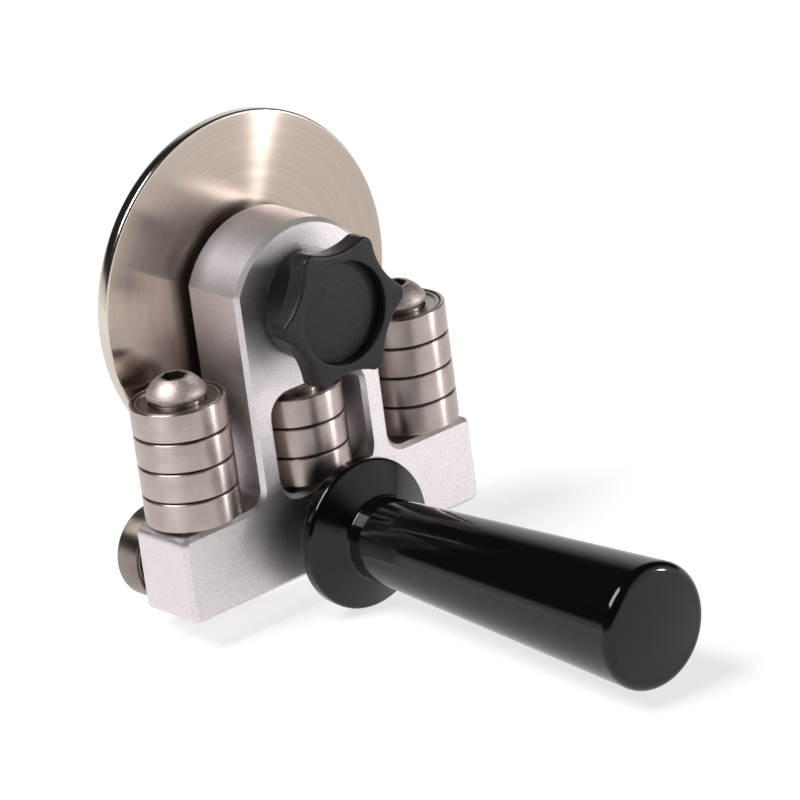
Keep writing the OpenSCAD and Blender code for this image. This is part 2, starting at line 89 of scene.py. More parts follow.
def linear(hex_colour: str) -> tuple[float, float, float, float]:
    """Turns an sRGB hex colour to linear light.

    Args:
        hex_colour: A colour such as "#C9C7C8".

    Returns:
        Red, green, blue and an alpha of 1.
    """
    parts = [int(hex_colour[i : i + 2], 16) / 255 for i in (1, 3, 5)]
    light = [c / 12.92 if c <= 0.04045 else ((c + 0.055) / 1.055) ** 2.4 for c in parts]
    return (*light, 1.0)


def add_node(tree: bpy.types.NodeTree, kind: str, inputs: dict | None = None, **settings) -> bpy.types.Node:
    """Adds one shader node with its settings, values and links.

    Args:
        tree: The tree that gets the node.
        kind: The node's type name.
        inputs: Socket name or index to a value, or to the output socket that feeds it.
        settings: Attributes of the node itself.

    Returns:
        The new node.
    """
    node = tree.nodes.new(kind)
    for name, value in settings.items():
        setattr(node, name, value)
    for name, value in (inputs or {}).items():
        if isinstance(value, bpy.types.NodeSocket):
            tree.links.new(value, node.inputs[name])
        else:
            node.inputs[name].default_value = value
    return node


# Places

def upright(x: float, y: float, z: float) -> Matrix:
    """A place whose local Z runs up."""
    return Matrix.Translation((x, y, z))


def facing_rear(x: float, y: float, z: float) -> Matrix:
    """A place whose local Z runs along +Y, towards the disc."""
    return Matrix.Translation((x, y, z)) @ Matrix.Rotation(math.radians(-90), 4, "X")


def facing_front(x: float, y: float, z: float) -> Matrix:
    """A place whose local Z runs along -Y, towards the user."""
    return Matrix.Translation((x, y, z)) @ Matrix.Rotation(math.radians(90), 4, "X")


# Finishes

@dataclass(frozen=True)
class Finish:
    """A surface finish. A subclass draws the pattern that its making leaves."""

    name: str
    colour: str
    second_colour: str
    roughness: float
    metallic: float = 1.0
    span: tuple[float, float] = (0.3, 0.7)
    spread: float = 0.12
    depth_mm: float = 0.01
    bump: float = 0.6

    def material(self) -> bpy.types.Material:
        """Makes the material once, and hands out the same one afterwards.

        Returns:
            The material of this finish.
        """
        made = bpy.data.materials.get(self.name)
        if made is None:
            made = bpy.data.materials.new(self.name)
            made.use_nodes = True
            tree = made.node_tree
            tree.nodes.clear()
            values = {"Roughness": self.roughness, "Metallic": self.metallic}
            shader = add_node(tree, "ShaderNodeBsdfPrincipled", values)
            add_node(tree, "ShaderNodeOutputMaterial", {"Surface": shader.outputs["BSDF"]})
            self.draw(tree, shader)
        return made

    def draw(self, tree: bpy.types.NodeTree, shader: bpy.types.Node) -> None:
        """Draws the finish's pattern into its tree."""
        raise NotImplementedError

    def tint(self, tree: bpy.types.NodeTree, shader: bpy.types.Node, pattern: bpy.types.NodeSocket) -> None:
        """Lets the base colour wander between the finish's two colours.

        Args:
            tree: The material's tree.
            shader: The shader that takes the colour.
            pattern: 0 for the second colour, 1 for the main one.
        """
        colours = {0: pattern, 6: linear(self.second_colour), 7: linear(self.colour)}
        mix = add_node(tree, "ShaderNodeMix", colours, data_type="RGBA")
        tree.links.new(mix.outputs[2], shader.inputs["Base Color"])

    def roughen(self, tree: bpy.types.NodeTree, shader: bpy.types.Node, pattern: bpy.types.NodeSocket) -> None:
        """Lets the roughness wander by the spread about the finish's own.

        Args:
            tree: The material's tree.
            shader: The shader that takes the roughness.
            pattern: The pattern, from 0 to 1.
        """
        limits = {"To Min": self.roughness - self.spread / 2, "To Max": self.roughness + self.spread / 2}
        scaled = add_node(tree, "ShaderNodeMapRange", {"Value": pattern, **limits})
        tree.links.new(scaled.outputs["Result"], shader.inputs["Roughness"])

    def emboss(self, tree: bpy.types.NodeTree, shader: bpy.types.Node, height: bpy.types.NodeSocket) -> None:
        """Presses a pattern into the surface, to the finish's depth.

        Args:
            tree: The material's tree.
            shader: The shader that takes the bumped normal.
            height: The pattern, from 0 to 1.
        """
        values = {"Height": height, "Distance": self.depth_mm * MM, "Strength": self.bump}
        bump = add_node(tree, "ShaderNodeBump", values)
        tree.links.new(bump.outputs["Normal"], shader.inputs["Normal"])

    def contrast(self, tree: bpy.types.NodeTree, pattern: bpy.types.NodeSocket) -> bpy.types.NodeSocket:
        """Stretches the finish's span of a pattern to the full range from 0 to 1.

        Args:
            tree: The material's tree.
            pattern: The pattern to stretch.

        Returns:
            The stretched pattern.
        """
        low, high = self.span
        return add_node(tree, "ShaderNodeMapRange", {"Value": pattern, "From Min": low, "From Max": high}).outputs[0]


@dataclass(frozen=True)
class BlastedAluminium(Finish):
    """Milled aluminium, bead-blasted: a pale matt metal with a fine sparkling grain."""

    # the pits are about 0.1 mm wide, and are drawn coarser so that they show
    grain_mm: float = 0.38
    cloud_mm: float = 9.0
    span: tuple[float, float] = (0.32, 0.68)
    spread: float = 0.08
    depth_mm: float = 0.06
    bump: float = 0.9

    def draw(self, tree: bpy.types.NodeTree, shader: bpy.types.Node) -> None:
        """Draws the pits and the faint clouds of the blasting."""
        place = add_node(tree, "ShaderNodeTexCoord").outputs["Object"]
        pits = {"Vector": place, "Scale": 1 / (self.grain_mm * MM), "Detail": 2.0, "Roughness": 0.7}
        grain = add_node(tree, "ShaderNodeTexNoise", pits).outputs["Fac"]
        clouds = {"Vector": place, "Scale": 1 / (self.cloud_mm * MM), "Detail": 2.0}
        cloud = add_node(tree, "ShaderNodeTexNoise", clouds).outputs["Fac"]
        self.tint(tree, shader, self.contrast(tree, grain))
        self.roughen(tree, shader, cloud)
        self.emboss(tree, shader, grain)


@dataclass(frozen=True)
class MilledAluminium(Finish):
    """Aluminium as the cutter leaves it: smooth, with faint feed marks along the cut."""

    feed_mm: float = 0.5
    depth_mm: float = 0.006
    bump: float = 0.4

    def draw(self, tree: bpy.types.NodeTree, shader: bpy.types.Node) -> None:
        """Draws the feed marks."""
        place = add_node(tree, "ShaderNodeTexCoord").outputs["Object"]
        # long along Y, as the cutter ran along the block's edge
        stretched = add_node(tree, "ShaderNodeMapping", {"Vector": place, "Scale": (1.0, 0.12, 1.0)}).outputs[0]
        marks = {"Vector": stretched, "Scale": 1 / (self.feed_mm * MM), "Detail": 2.0}
        lines = add_node(tree, "ShaderNodeTexNoise", marks).outputs["Fac"]
        self.tint(tree, shader, self.contrast(tree, lines))
        self.roughen(tree, shader, lines)
        self.emboss(tree, shader, lines)


@dataclass(frozen=True)
class TurnedSteel(Finish):
    """Steel faced on a lathe: fine rings, which draw light out into streaks from the centre."""

    centre_mm: tuple[float, float, float] = (0.0, 0.0, 0.0)
    anisotropy: float = 1.0
    # the tool marks are about 0.1 mm apart, and are drawn coarser so that they show
    ring_mm: float = 0.45
    band_mm: float = 4.0
    span: tuple[float, float] = (0.12, 0.4)
    spread: float = 0.06
    depth_mm: float = 0.002
    bump: float = 0.1

    def draw(self, tree: bpy.types.NodeTree, shader: bpy.types.Node) -> None:
        """Draws the rings about the disc's axis, and lays the grain along them."""
        place = add_node(tree, "ShaderNodeTexCoord").outputs["Object"]
        shift = tuple(-c * MM for c in self.centre_mm)
        centred = add_node(tree, "ShaderNodeMapping", {"Vector": place, "Location": shift}).outputs[0]
        spoke = add_node(tree, "ShaderNodeVectorMath", {0: centred, 1: (1.0, 0.0, 1.0)}, operation="MULTIPLY")
        radius = add_node(tree, "ShaderNodeVectorMath", {0: spoke.outputs[0]}, operation="LENGTH").outputs["Value"]
        rings = {"W": radius, "Scale": 1 / (self.ring_mm * MM), "Detail": 1.0}
        ring = add_node(tree, "ShaderNodeTexNoise", rings, noise_dimensions="1D").outputs["Fac"]
        bands = {"W": radius, "Scale": 1 / (self.band_mm * MM), "Detail": 2.0}
        band = add_node(tree, "ShaderNodeTexNoise", bands, noise_dimensions="1D").outputs["Fac"]
        both = add_node(tree, "ShaderNodeMath", {0: ring, 1: band}, operation="MULTIPLY").outputs[0]
        self.tint(tree, shader, self.contrast(tree, both))
        self.roughen(tree, shader, band)
        self.emboss(tree, shader, ring)
        turned = add_node(
            tree,
            "ShaderNodeVectorTransform",
            {0: spoke.outputs[0]},
            vector_type="VECTOR",
            convert_from="OBJECT",
            convert_to="WORLD",
        )
        tangent = add_node(tree, "ShaderNodeVectorMath", {0: turned.outputs[0]}, operation="NORMALIZE").outputs[0]
        tree.links.new(tangent, shader.inputs["Tangent"])
        shader.inputs["Anisotropic"].default_value = self.anisotropy


@dataclass(frozen=True)
class GroundSteel(Finish):
    """Hardened steel, ground round its axis: smooth, with hair lines that draw light out along the axis."""

    axis: Axis = Axis.Z
    anisotropy: float = 0.9
    # grinding leaves lines of a few hundredths, which are drawn coarser so that they show
    line_mm: float = 0.22
    cloud_mm: float = 5.0
    span: tuple[float, float] = (0.14, 0.36)
    spread: float = 0.08
    depth_mm: float = 0.002
    bump: float = 0.1

    def draw(self, tree: bpy.types.NodeTree, shader: bpy.types.Node) -> None:
        """Draws the grinding lines round the axis."""
        place = add_node(tree, "ShaderNodeTexCoord").outputs["Object"]
        along = add_node(tree, "ShaderNodeVectorMath", {0: place, 1: self.axis.value}, operation="DOT_PRODUCT")
        marks = {"W": along.outputs["Value"], "Scale": 1 / (self.line_mm * MM), "Detail": 2.0}
        lines = add_node(tree, "ShaderNodeTexNoise", marks, noise_dimensions="1D").outputs["Fac"]
        clouds = {"Vector": place, "Scale": 1 / (self.cloud_mm * MM), "Detail": 3.0}
        cloud = add_node(tree, "ShaderNodeTexNoise", clouds).outputs["Fac"]
        both = add_node(tree, "ShaderNodeMath", {0: lines, 1: cloud}, operation="MULTIPLY").outputs[0]
        self.tint(tree, shader, self.contrast(tree, both))
        self.roughen(tree, shader, cloud)
        self.emboss(tree, shader, lines)
        x, y, z = self.axis.value
        tangent = add_node(tree, "ShaderNodeCombineXYZ", {"X": x, "Y": y, "Z": z}).outputs[0]
        tree.links.new(tangent, shader.inputs["Tangent"])
        shader.inputs["Anisotropic"].default_value = self.anisotropy


@dataclass(frozen=True)
class FormedSteel(Finish):
    """Steel that was pressed or cold-headed: a smooth skin with faint dents and stains."""

    dent_mm: float = 1.1
    stain_mm: float = 0.5

    def draw(self, tree: bpy.types.NodeTree, shader: bpy.types.Node) -> None:
        """Draws the dents and the stains."""
        place = add_node(tree, "ShaderNodeTexCoord").outputs["Object"]
        dents = {"Vector": place, "Scale": 1 / (self.dent_mm * MM), "Detail": 3.0}
        dent = add_node(tree, "ShaderNodeTexNoise", dents).outputs["Fac"]
        stains = {"Vector": place, "Scale": 1 / (self.stain_mm * MM), "Detail": 4.0}
        stain = add_node(tree, "ShaderNodeTexNoise", stains).outputs["Fac"]
        self.tint(tree, shader, self.contrast(tree, stain))
        self.roughen(tree, shader, stain)
        self.emboss(tree, shader, dent)


@dataclass(frozen=True)
class GrainedPolymer(Finish):
    """Moulded polymer from a spark-eroded mould: dull, with a fine leathery grain."""

    metallic: float = 0.0
    grain_mm: float = 0.45
    specular: float = 0.5
    span: tuple[float, float] = (0.35, 0.65)
    spread: float = 0.1

    def draw(self, tree: bpy.types.NodeTree, shader: bpy.types.Node) -> None:
        """Draws the mould's grain."""
        shader.inputs["Specular IOR Level"].default_value = self.specular
        place = add_node(tree, "ShaderNodeTexCoord").outputs["Object"]
        pits = {"Vector": place, "Scale": 1 / (self.grain_mm * MM), "Detail": 3.0, "Roughness": 0.6}
        grain = add_node(tree, "ShaderNodeTexNoise", pits).outputs["Fac"]
        self.tint(tree, shader, self.contrast(tree, grain))
        self.roughen(tree, shader, grain)
        self.emboss(tree, shader, grain)


@dataclass(frozen=True)
class PolishedPhenolic(Finish):
    """Black phenolic, moulded and polished: a deep gloss whose skin is not quite flat."""

    metallic: float = 0.0
    wave_mm: float = 7.0
    mark_mm: float = 1.4
    ior: float = 1.4
    spread: float = 0.05
    depth_mm: float = 0.012
    bump: float = 0.5

    def draw(self, tree: bpy.types.NodeTree, shader: bpy.types.Node) -> None:
        """Draws the slow waves of the skin and the faint marks of use."""
        shader.inputs["IOR"].default_value = self.ior
        place = add_node(tree, "ShaderNodeTexCoord").outputs["Object"]
        waves = {"Vector": place, "Scale": 1 / (self.wave_mm * MM), "Detail": 1.0}
        wave = add_node(tree, "ShaderNodeTexNoise", waves).outputs["Fac"]
        # marks run along the grip
        stretched = add_node(tree, "ShaderNodeMapping", {"Vector": place, "Scale": (1.0, 0.15, 1.0)}).outputs[0]
        marks = {"Vector": stretched, "Scale": 1 / (self.mark_mm * MM), "Detail": 3.0}
        mark = add_node(tree, "ShaderNodeTexNoise", marks).outputs["Fac"]
        self.tint(tree, shader, mark)
        self.roughen(tree, shader, mark)
        self.emboss(tree, shader, wave)


DISC_CENTRE = (0.0, 13.4, 74.95)

# the block: pale and matt, with a grain that sparkles in the light
BLASTED = BlastedAluminium("bead_blasted_aluminium", "#E8E1E2", "#CDC6C7", 0.43)
# the bar's upper corners: smooth, a little bluer and calmer than the blasted faces
MILLED = MilledAluminium("milled_aluminium_edge", "#D9D3D8", "#C3BDC2", 0.42)
# the disc's faces: fine rings, with a streak of light from the centre
FACED = TurnedSteel("lathe_faced_steel", "#B8AAA0", "#AFA197", 0.18, centre_mm=DISC_CENTRE)
# the disc's rim and the balls: nearly a mirror
RIM = FormedSteel("polished_steel_rim", "#CDC3BA", "#BFB5AC", 0.16, dent_mm=6.0, depth_mm=0.004)
# the rings of the stacks and of the rollers: hair lines round them, and bands of light along them
GROUND = GroundSteel("ground_bearing_steel", "#BDB0AB", "#AA9D98", 0.34)
# the rollers' copy of the ground steel has its lines about Y and is painted darker, as painted shade behind the block
GROUND_ROLLER_SHADED = GroundSteel("ground_roller_steel", "#948A82", "#80766E", 0.34, axis=Axis.Y)
# the shields: thin sheet, slightly wavy
PRESSED = FormedSteel("pressed_shield_steel", "#B5ACA4", "#968D85", 0.32, dent_mm=2.0, depth_mm=0.008)
# the screws: dull and mottled
HEADED = FormedSteel("cold_headed_stainless_steel", "#CFC3BD", "#A2978F", 0.52, dent_mm=0.9, depth_mm=0.008)
# the sockets in the screws: rough from the broach, and painted dark as the shade inside the recess
SOCKET_SHADE = FormedSteel("broached_steel_socket", "#6E6660", "#544D48", 0.45, dent_mm=0.8)
# the washers: tumbled, so soft in their gloss
PUNCHED = FormedSteel("punched_steel_washer", "#A8A097", "#8A8279", 0.34, dent_mm=1.5)
# the knob: a dull black grain; the boss behind it smoother, and painted darker as the shade behind the lobes
NYLON = GrainedPolymer("grained_black_nylon", "#231D23", "#110D12", 0.42, grain_mm=0.6, depth_mm=0.16, specular=0.3)
SMOOTH_SHADED_NYLON = GrainedPolymer("smooth_black_nylon", "#0A090B", "#070608", 0.3, depth_mm=0.006, specular=0.25)
# the handle: deep black, with clear reflections
PHENOLIC = PolishedPhenolic("polished_black_phenolic", "#0C0B0E", "#09080A", 0.1)
# inside: brown cages and yellow inserts
CAGE_NYLON = GrainedPolymer("moulded_cage_nylon", "#7A5633", "#5E4128", 0.5)
BRASS = FormedSteel("turned_brass", "#C9A85A", "#AF8E45", 0.3, dent_mm=1.2, depth_mm=0.008)


# Meshes

@dataclass(frozen=True)
class Corner:
    """One corner of a half-section, in millimetres."""

    r: float
    h: float
    rounding: float = 0.0


class Section:
    """A half-section in the XZ plane, which turning about Z makes into a solid."""

    def __init__(self, *corners: Corner) -> None:
        """Draws the first line of the section."""
        self.bm = bmesh.new()
        self.line: list[bmesh.types.BMVert] = []
        self.rounded: list[tuple[bmesh.types.BMVert, float]] = []
        self.to(*corners)

    def to(self, *corners: Corner) -> Section:
        """Carries the line on through more corners.

        Args:
            corners: The corners, in order.

        Returns:
            The section itself.
        """
        for corner in corners:
            vert = self.bm.verts.new((corner.r, 0.0, corner.h))
            if self.line:
                self.bm.edges.new((self.line[-1], vert))
            if corner.rounding:
                self.rounded.append((vert, corner.rounding))
            self.line.append(vert)
        return self

    def arc(self, r: float, h: float, degrees: float, steps: int) -> Section:
        """Carries the line on round a centre.

        Args:
            r: The centre's distance from the axis.
            h: The centre's height.
            degrees: The angle, counted from the axis's direction outwards.
            steps: The number of straight pieces.

        Returns:
            The section itself.
        """
        angle = math.radians(degrees)
        start = [self.line[-1]]
        made = bmesh.ops.spin(self.bm, geom=start, cent=(r, 0, h), axis=(0, 1, 0), angle=angle, steps=steps)
        self.line.append(next(g for g in made["geom_last"] if isinstance(g, bmesh.types.BMVert)))
        return self

    def close(self) -> Section:
        """Joins the line's end to its start, and lifts the pen."""
        self.bm.edges.new((self.line[-1], self.line[0]))
        return self.lift()

    def lift(self) -> Section:
        """Lifts the pen, so that the next corner starts a new line."""
        self.line = []
        return self

    def turned(self, segments: int) -> bmesh.types.BMesh:
        """Rounds the corners and turns the section about Z.

        Args:
            segments: The number of steps in the full turn.

        Returns:
            The turned mesh, with its faces outwards.
        """
        for vert, rounding in self.rounded:
            round_corner(self.bm, vert, rounding)
        wire = self.bm.verts[:] + self.bm.edges[:]
        full = {"angle": math.tau, "steps": segments, "use_merge": True}
        bmesh.ops.spin(self.bm, geom=wire, cent=(0, 0, 0), axis=(0, 0, 1), **full)
        tidy(self.bm)
        return self.bm


def round_corner(bm: bmesh.types.BMesh, vert: bmesh.types.BMVert, size: float) -> None:
    """Rounds one corner of a wire.

    Args:
        bm: The mesh that holds the wire.
        vert: The corner.
        size: The length that the rounding takes from each side.
    """
    how = {"affect": "VERTICES", "segments": ROUND_STEPS, "profile": 0.5, "material": -1}
    bmesh.ops.bevel(bm, geom=[vert], offset=size, offset_type="OFFSET", **how)


def soften(bm: bmesh.types.BMesh, edges: Iterable[bmesh.types.BMEdge], size: float, segments: int) -> None:
    """Bevels edges.

    Args:
        bm: The mesh.
        edges: The edges to bevel.
        size: The width that the bevel takes from each side.
        segments: 1 for a chamfer, more for a rounding.
    """
    how = {"affect": "EDGES", "segments": segments, "profile": 0.5, "material": -1}
    bmesh.ops.bevel(bm, geom=list(edges), offset=size, offset_type="OFFSET", **how)


def tidy(bm: bmesh.types.BMesh) -> None:
    """Merges doubled points and turns all faces outwards."""
    bmesh.ops.remove_doubles(bm, verts=bm.verts[:], dist=MERGE_MM)
    bmesh.ops.recalc_face_normals(bm, faces=bm.faces[:])


def joined(first: bmesh.types.BMesh, second: bmesh.types.BMesh) -> bmesh.types.BMesh:
    """Puts two meshes into one.

    Args:
        first: The mesh that gets the other.
        second: The mesh that is used up.

    Returns:
        The first mesh.
    """
    carrier = bpy.data.meshes.new("carrier")
    second.to_mesh(carrier)
    second.free()
    first.from_mesh(carrier)
    bpy.data.meshes.remove(carrier)
    return first


def ring_edges(verts: Sequence[bmesh.types.BMVert]) -> list[bmesh.types.BMEdge]:
    """The edges between the points of one ring.

    Args:
        verts: The ring's points.

    Returns:
        The edges that join two of them.
    """
    inside = set(verts)
    return list({e for v in verts for e in v.link_edges if e.other_vert(v) in inside})


def circle(bm: bmesh.types.BMesh, radius: float, place: Matrix, segments: int) -> list[bmesh.types.BMEdge]:
    """Adds an open circle.

    Args:
        bm: The mesh that gets it.
        radius: Its radius.
        place: Where its centre is, and which way it faces.
        segments: The number of its edges.

    Returns:
        Its edges.
    """
    made = bmesh.ops.create_circle(bm, radius=radius, segments=segments, matrix=place)
    return ring_edges(made["verts"])


def push(bm: bmesh.types.BMesh, edges: list[bmesh.types.BMEdge], way: Vector) -> list[bmesh.types.BMEdge]:
    """Draws edges out into walls.

    Args:
        bm: The mesh.
        edges: The edges at the walls' start.
        way: How far, and in which direction.

    Returns:
        The edges at the walls' end.
    """
    made = bmesh.ops.extrude_edge_only(bm, edges=edges)["geom"]
    verts = [g for g in made if isinstance(g, bmesh.types.BMVert)]
    bmesh.ops.translate(bm, vec=way, verts=verts)
    return ring_edges(verts)


def add_piece(
    name: str,
    bm: bmesh.types.BMesh,
    place: Matrix,
    finishes: Sequence[Finish],
    body: str,
    nodes: Sequence[str],
) -> None:
    """Makes a finished mesh into a piece of the object, whose own origin stays at the frame's.

    Args:
        name: The piece's name.
        bm: Its mesh in millimetres, which is used up.
        place: Where it goes.
        finishes: Its materials, in the order of the faces' indices.
        body: The body that it moves with.
        nodes: The CAD nodes that it stands for.
    """
    bmesh.ops.transform(bm, matrix=Matrix.Scale(MM, 4) @ place, verts=bm.verts[:])
    mesh = bpy.data.meshes.new(name)
    bm.to_mesh(mesh)
    bm.free()
    mesh.shade_smooth()
    mesh.set_sharp_from_angle(angle=SHARP_ANGLE)
    for finish in finishes:
        mesh.materials.append(finish.material())
    piece = bpy.data.objects.new(name, mesh)
    bpy.context.scene.collection.objects.link(piece)
    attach(piece, body)
    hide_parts(*nodes)
    log.info("%s: %d faces, rides on %s", name, len(mesh.polygons), body)


def dress_node(nodes: dict[str, bpy.types.Object], name: str, finish: Finish) -> None:
    """Gives a CAD node that stays a better material.

    Args:
        nodes: The frame's nodes.
        name: The node's name.
        finish: Its finish.
    """
    node = nodes[name]
    for slot in node.material_slots:
        slot.material = finish.material()
    log.info("%s: CAD node in %s", name, finish.name)


# Sub-assemblies

@dataclass
class Block:
    """The aluminium block: a low bar with an arched upright, which has a window."""

    half_length: float = 51.0
    depth: float = 21.0
    bar_height: float = 24.5
    corner: float = 2.5
    shoulder: float = 4.5
    half_upright: float = 22.5
    arch_radius: float = 24.7
    arch_z: float = 72.95
    half_window: float = 15.6
    window_floor: float = 23.5
    window_top: float = 52.0
    window_corner: float = 5.5
    chamfer: float = 1.2
    edge_break: float = 0.15
    axle_radius: float = 5.0
    axle_y: float = -0.5
    axle_pocket: float = 4.0
    arch_steps: int = 40
    pocket_segments: int = 48
    corner_slope: float = 0.05

    def half(self) -> bmesh.types.BMesh:
        """Draws the right half of the block's outline and makes it a slab.

        Returns:
            The half slab, open at the middle plane.
        """
        bm = bmesh.new()
        front = -self.depth / 2
        crease = math.sqrt(self.arch_radius**2 - self.half_upright**2)
        outer = [
            (0.0, 0.0),
            (self.half_length, 0.0),
            (self.half_length, self.bar_height),
            (self.half_upright, self.bar_height),
            (self.half_upright, self.arch_z + crease),
        ]
        window = [
            (0.0, self.window_top),
            (self.half_window, self.window_top),
            (self.half_window, self.window_floor),
            (0.0, self.window_floor),
        ]
        first = [bm.verts.new((x, front, z)) for x, z in outer]
        angle = math.atan2(crease, self.half_upright) - math.pi / 2
        turn = {"cent": (0, front, self.arch_z), "axis": (0, 1, 0), "angle": angle, "steps": self.arch_steps}
        made = bmesh.ops.spin(bm, geom=[first[-1]], **turn)
        arch_top = next(g for g in made["geom_last"] if isinstance(g, bmesh.types.BMVert))
        last = [bm.verts.new((x, front, z)) for x, z in window]
        for chain in (first, [arch_top, *last, first[0]]):
            for a, b in zip(chain, chain[1:]):
                bm.edges.new((a, b))
        round_corner(bm, first[1], self.corner)
        round_corner(bm, first[2], self.corner)
        round_corner(bm, first[3], self.shoulder)
        round_corner(bm, last[1], self.window_corner)
        round_corner(bm, last[2], self.window_corner)
        face = bmesh.ops.contextual_create(bm, geom=bm.edges[:])["faces"]
        slab = bmesh.ops.extrude_face_region(bm, geom=face)["geom"]
        moved = [g for g in slab if isinstance(g, bmesh.types.BMVert)]
        bmesh.ops.translate(bm, vec=(0, self.depth, 0), verts=moved)
        seam = [f for f in bm.faces if all(abs(v.co.x) < NEAR_MM for v in f.verts)]
        bmesh.ops.delete(bm, geom=seam, context="FACES")
        return bm

    def chamfered(self, edge: bmesh.types.BMEdge) -> bool:
        """Whether an edge of the front or the rear face has the chamfer, as all but the seam have."""
        a, b = (v.co for v in edge.verts)
        on_a_face = abs(a.y - b.y) < NEAR_MM and abs(abs(a.y) - self.depth / 2) < NEAR_MM
        return on_a_face and max(abs(a.x), abs(b.x)) >= NEAR_MM

    def open_underside(self, bm: bmesh.types.BMesh) -> None:
        """Cuts the pocket of the middle axle's foot into the underside."""
        floor = [f for f in bm.faces if all(v.co.z < NEAR_MM for v in f.verts)]
        bmesh.ops.delete(bm, geom=floor, context="FACES")
        rim = [e for e in bm.edges if e.is_boundary]
        pocket = circle(bm, self.axle_radius, upright(0, self.axle_y, 0), self.pocket_segments)
        bmesh.ops.triangle_fill(bm, edges=rim + pocket, use_beauty=True)
        ceiling = push(bm, pocket, Vector((0, 0, self.axle_pocket)))
        bmesh.ops.contextual_create(bm, geom=ceiling)
        soften(bm, pocket, self.edge_break, 1)

    def mesh(self) -> bmesh.types.BMesh:
        """Makes the whole block with its chamfers.

        Returns:
            The block, with its milled upper corners at index 1.
        """
        bm = self.half()
        bmesh.ops.mirror(bm, geom=bm.verts[:] + bm.edges[:] + bm.faces[:], axis="X", merge_dist=MERGE_MM)
        tidy(bm)
        soften(bm, [e for e in bm.edges if self.chamfered(e)], self.chamfer, 1)
        bm.normal_update()
        self.open_underside(bm)
        tidy(bm)
        for face in bm.faces:
            n = face.normal
            middle = face.calc_center_median()
            at_end = abs(middle.x) > self.half_length - self.corner
            face.material_index = int(at_end and min(abs(n.x), n.z) > self.corner_slope)
        return bm

    def build(self, nodes: dict[str, bpy.types.Object]) -> None:
        """Adds the block and dresses the axle that stands in it."""
        finishes = [BLASTED, MILLED]
        add_piece("block", self.mesh(), upright(0, 0, 0), finishes, BLOCK_BODY, ["body_block"])
        dress_node(nodes, "middle_stack_axle", HEADED)


@dataclass
class Bearing:
    """A shielded ball bearing, standing on local z = 0."""

    outer_r: float = 13.0
    width: float = 8.0
    land_r: float = 10.6
    seat_r: float = 12.0
    seat_depth: float = 1.0
    edge: float = 0.45
    shield_r: float = 11.6
    shield_bead: float = 0.8
    shield_bore: float = 7.75
    shield_depth: float = 0.2
    shield_thickness: float = 0.3
    shield_step: float = 0.5
    fold: float = 0.1
    bead_root: float = 0.15
    bead_edge: float = 0.25
    segments: int = 96

    def ring(self) -> bmesh.types.BMesh:
        """Turns the outer ring with its rounded edges and its seats for the shields."""
        top = self.width
        return (
            Section(
                Corner(self.land_r, self.seat_depth),
                Corner(self.seat_r, self.seat_depth),
                Corner(self.seat_r, 0, EDGE_BREAK_MM),
                Corner(self.outer_r, 0, self.edge),
                Corner(self.outer_r, top, self.edge),
                Corner(self.seat_r, top, EDGE_BREAK_MM),
                Corner(self.seat_r, top - self.seat_depth),
                Corner(self.land_r, top - self.seat_depth),
            )
            .close()
            .turned(self.segments)
        )

    def shields(self) -> bmesh.types.BMesh:
        """Turns the two shields, each with the rolled bead at its edge."""
        section = Section()
        bead_r = self.shield_r - self.shield_bead
        for outside, way in ((self.shield_depth, 1), (self.width - self.shield_depth, -1)):
            low = outside + way * self.shield_step
            inside = low + way * self.shield_thickness
            section.to(
                Corner(self.shield_bore, low),
                Corner(bead_r - self.shield_step, low, self.fold),
                Corner(bead_r, outside, self.bead_root),
                Corner(self.shield_r, outside, self.bead_edge),
                Corner(self.shield_r, inside),
                Corner(self.shield_bore, inside),
            ).close()
        return section.turned(self.segments)

    def build(self, place: Matrix, ring: str, shields: str, body: str, finish: Finish) -> None:
        """Adds one bearing's ring and shields.

        Args:
            place: Where the bearing stands.
            ring: The outer ring's node.
            shields: The shields' node.
            body: The body that turns.
            finish: The ground finish of the ring.
        """
        add_piece(ring + "_steel", self.ring(), place, [finish], body, [ring])
        add_piece(shields + "_steel", self.shields(), place, [PRESSED], body, [shields])


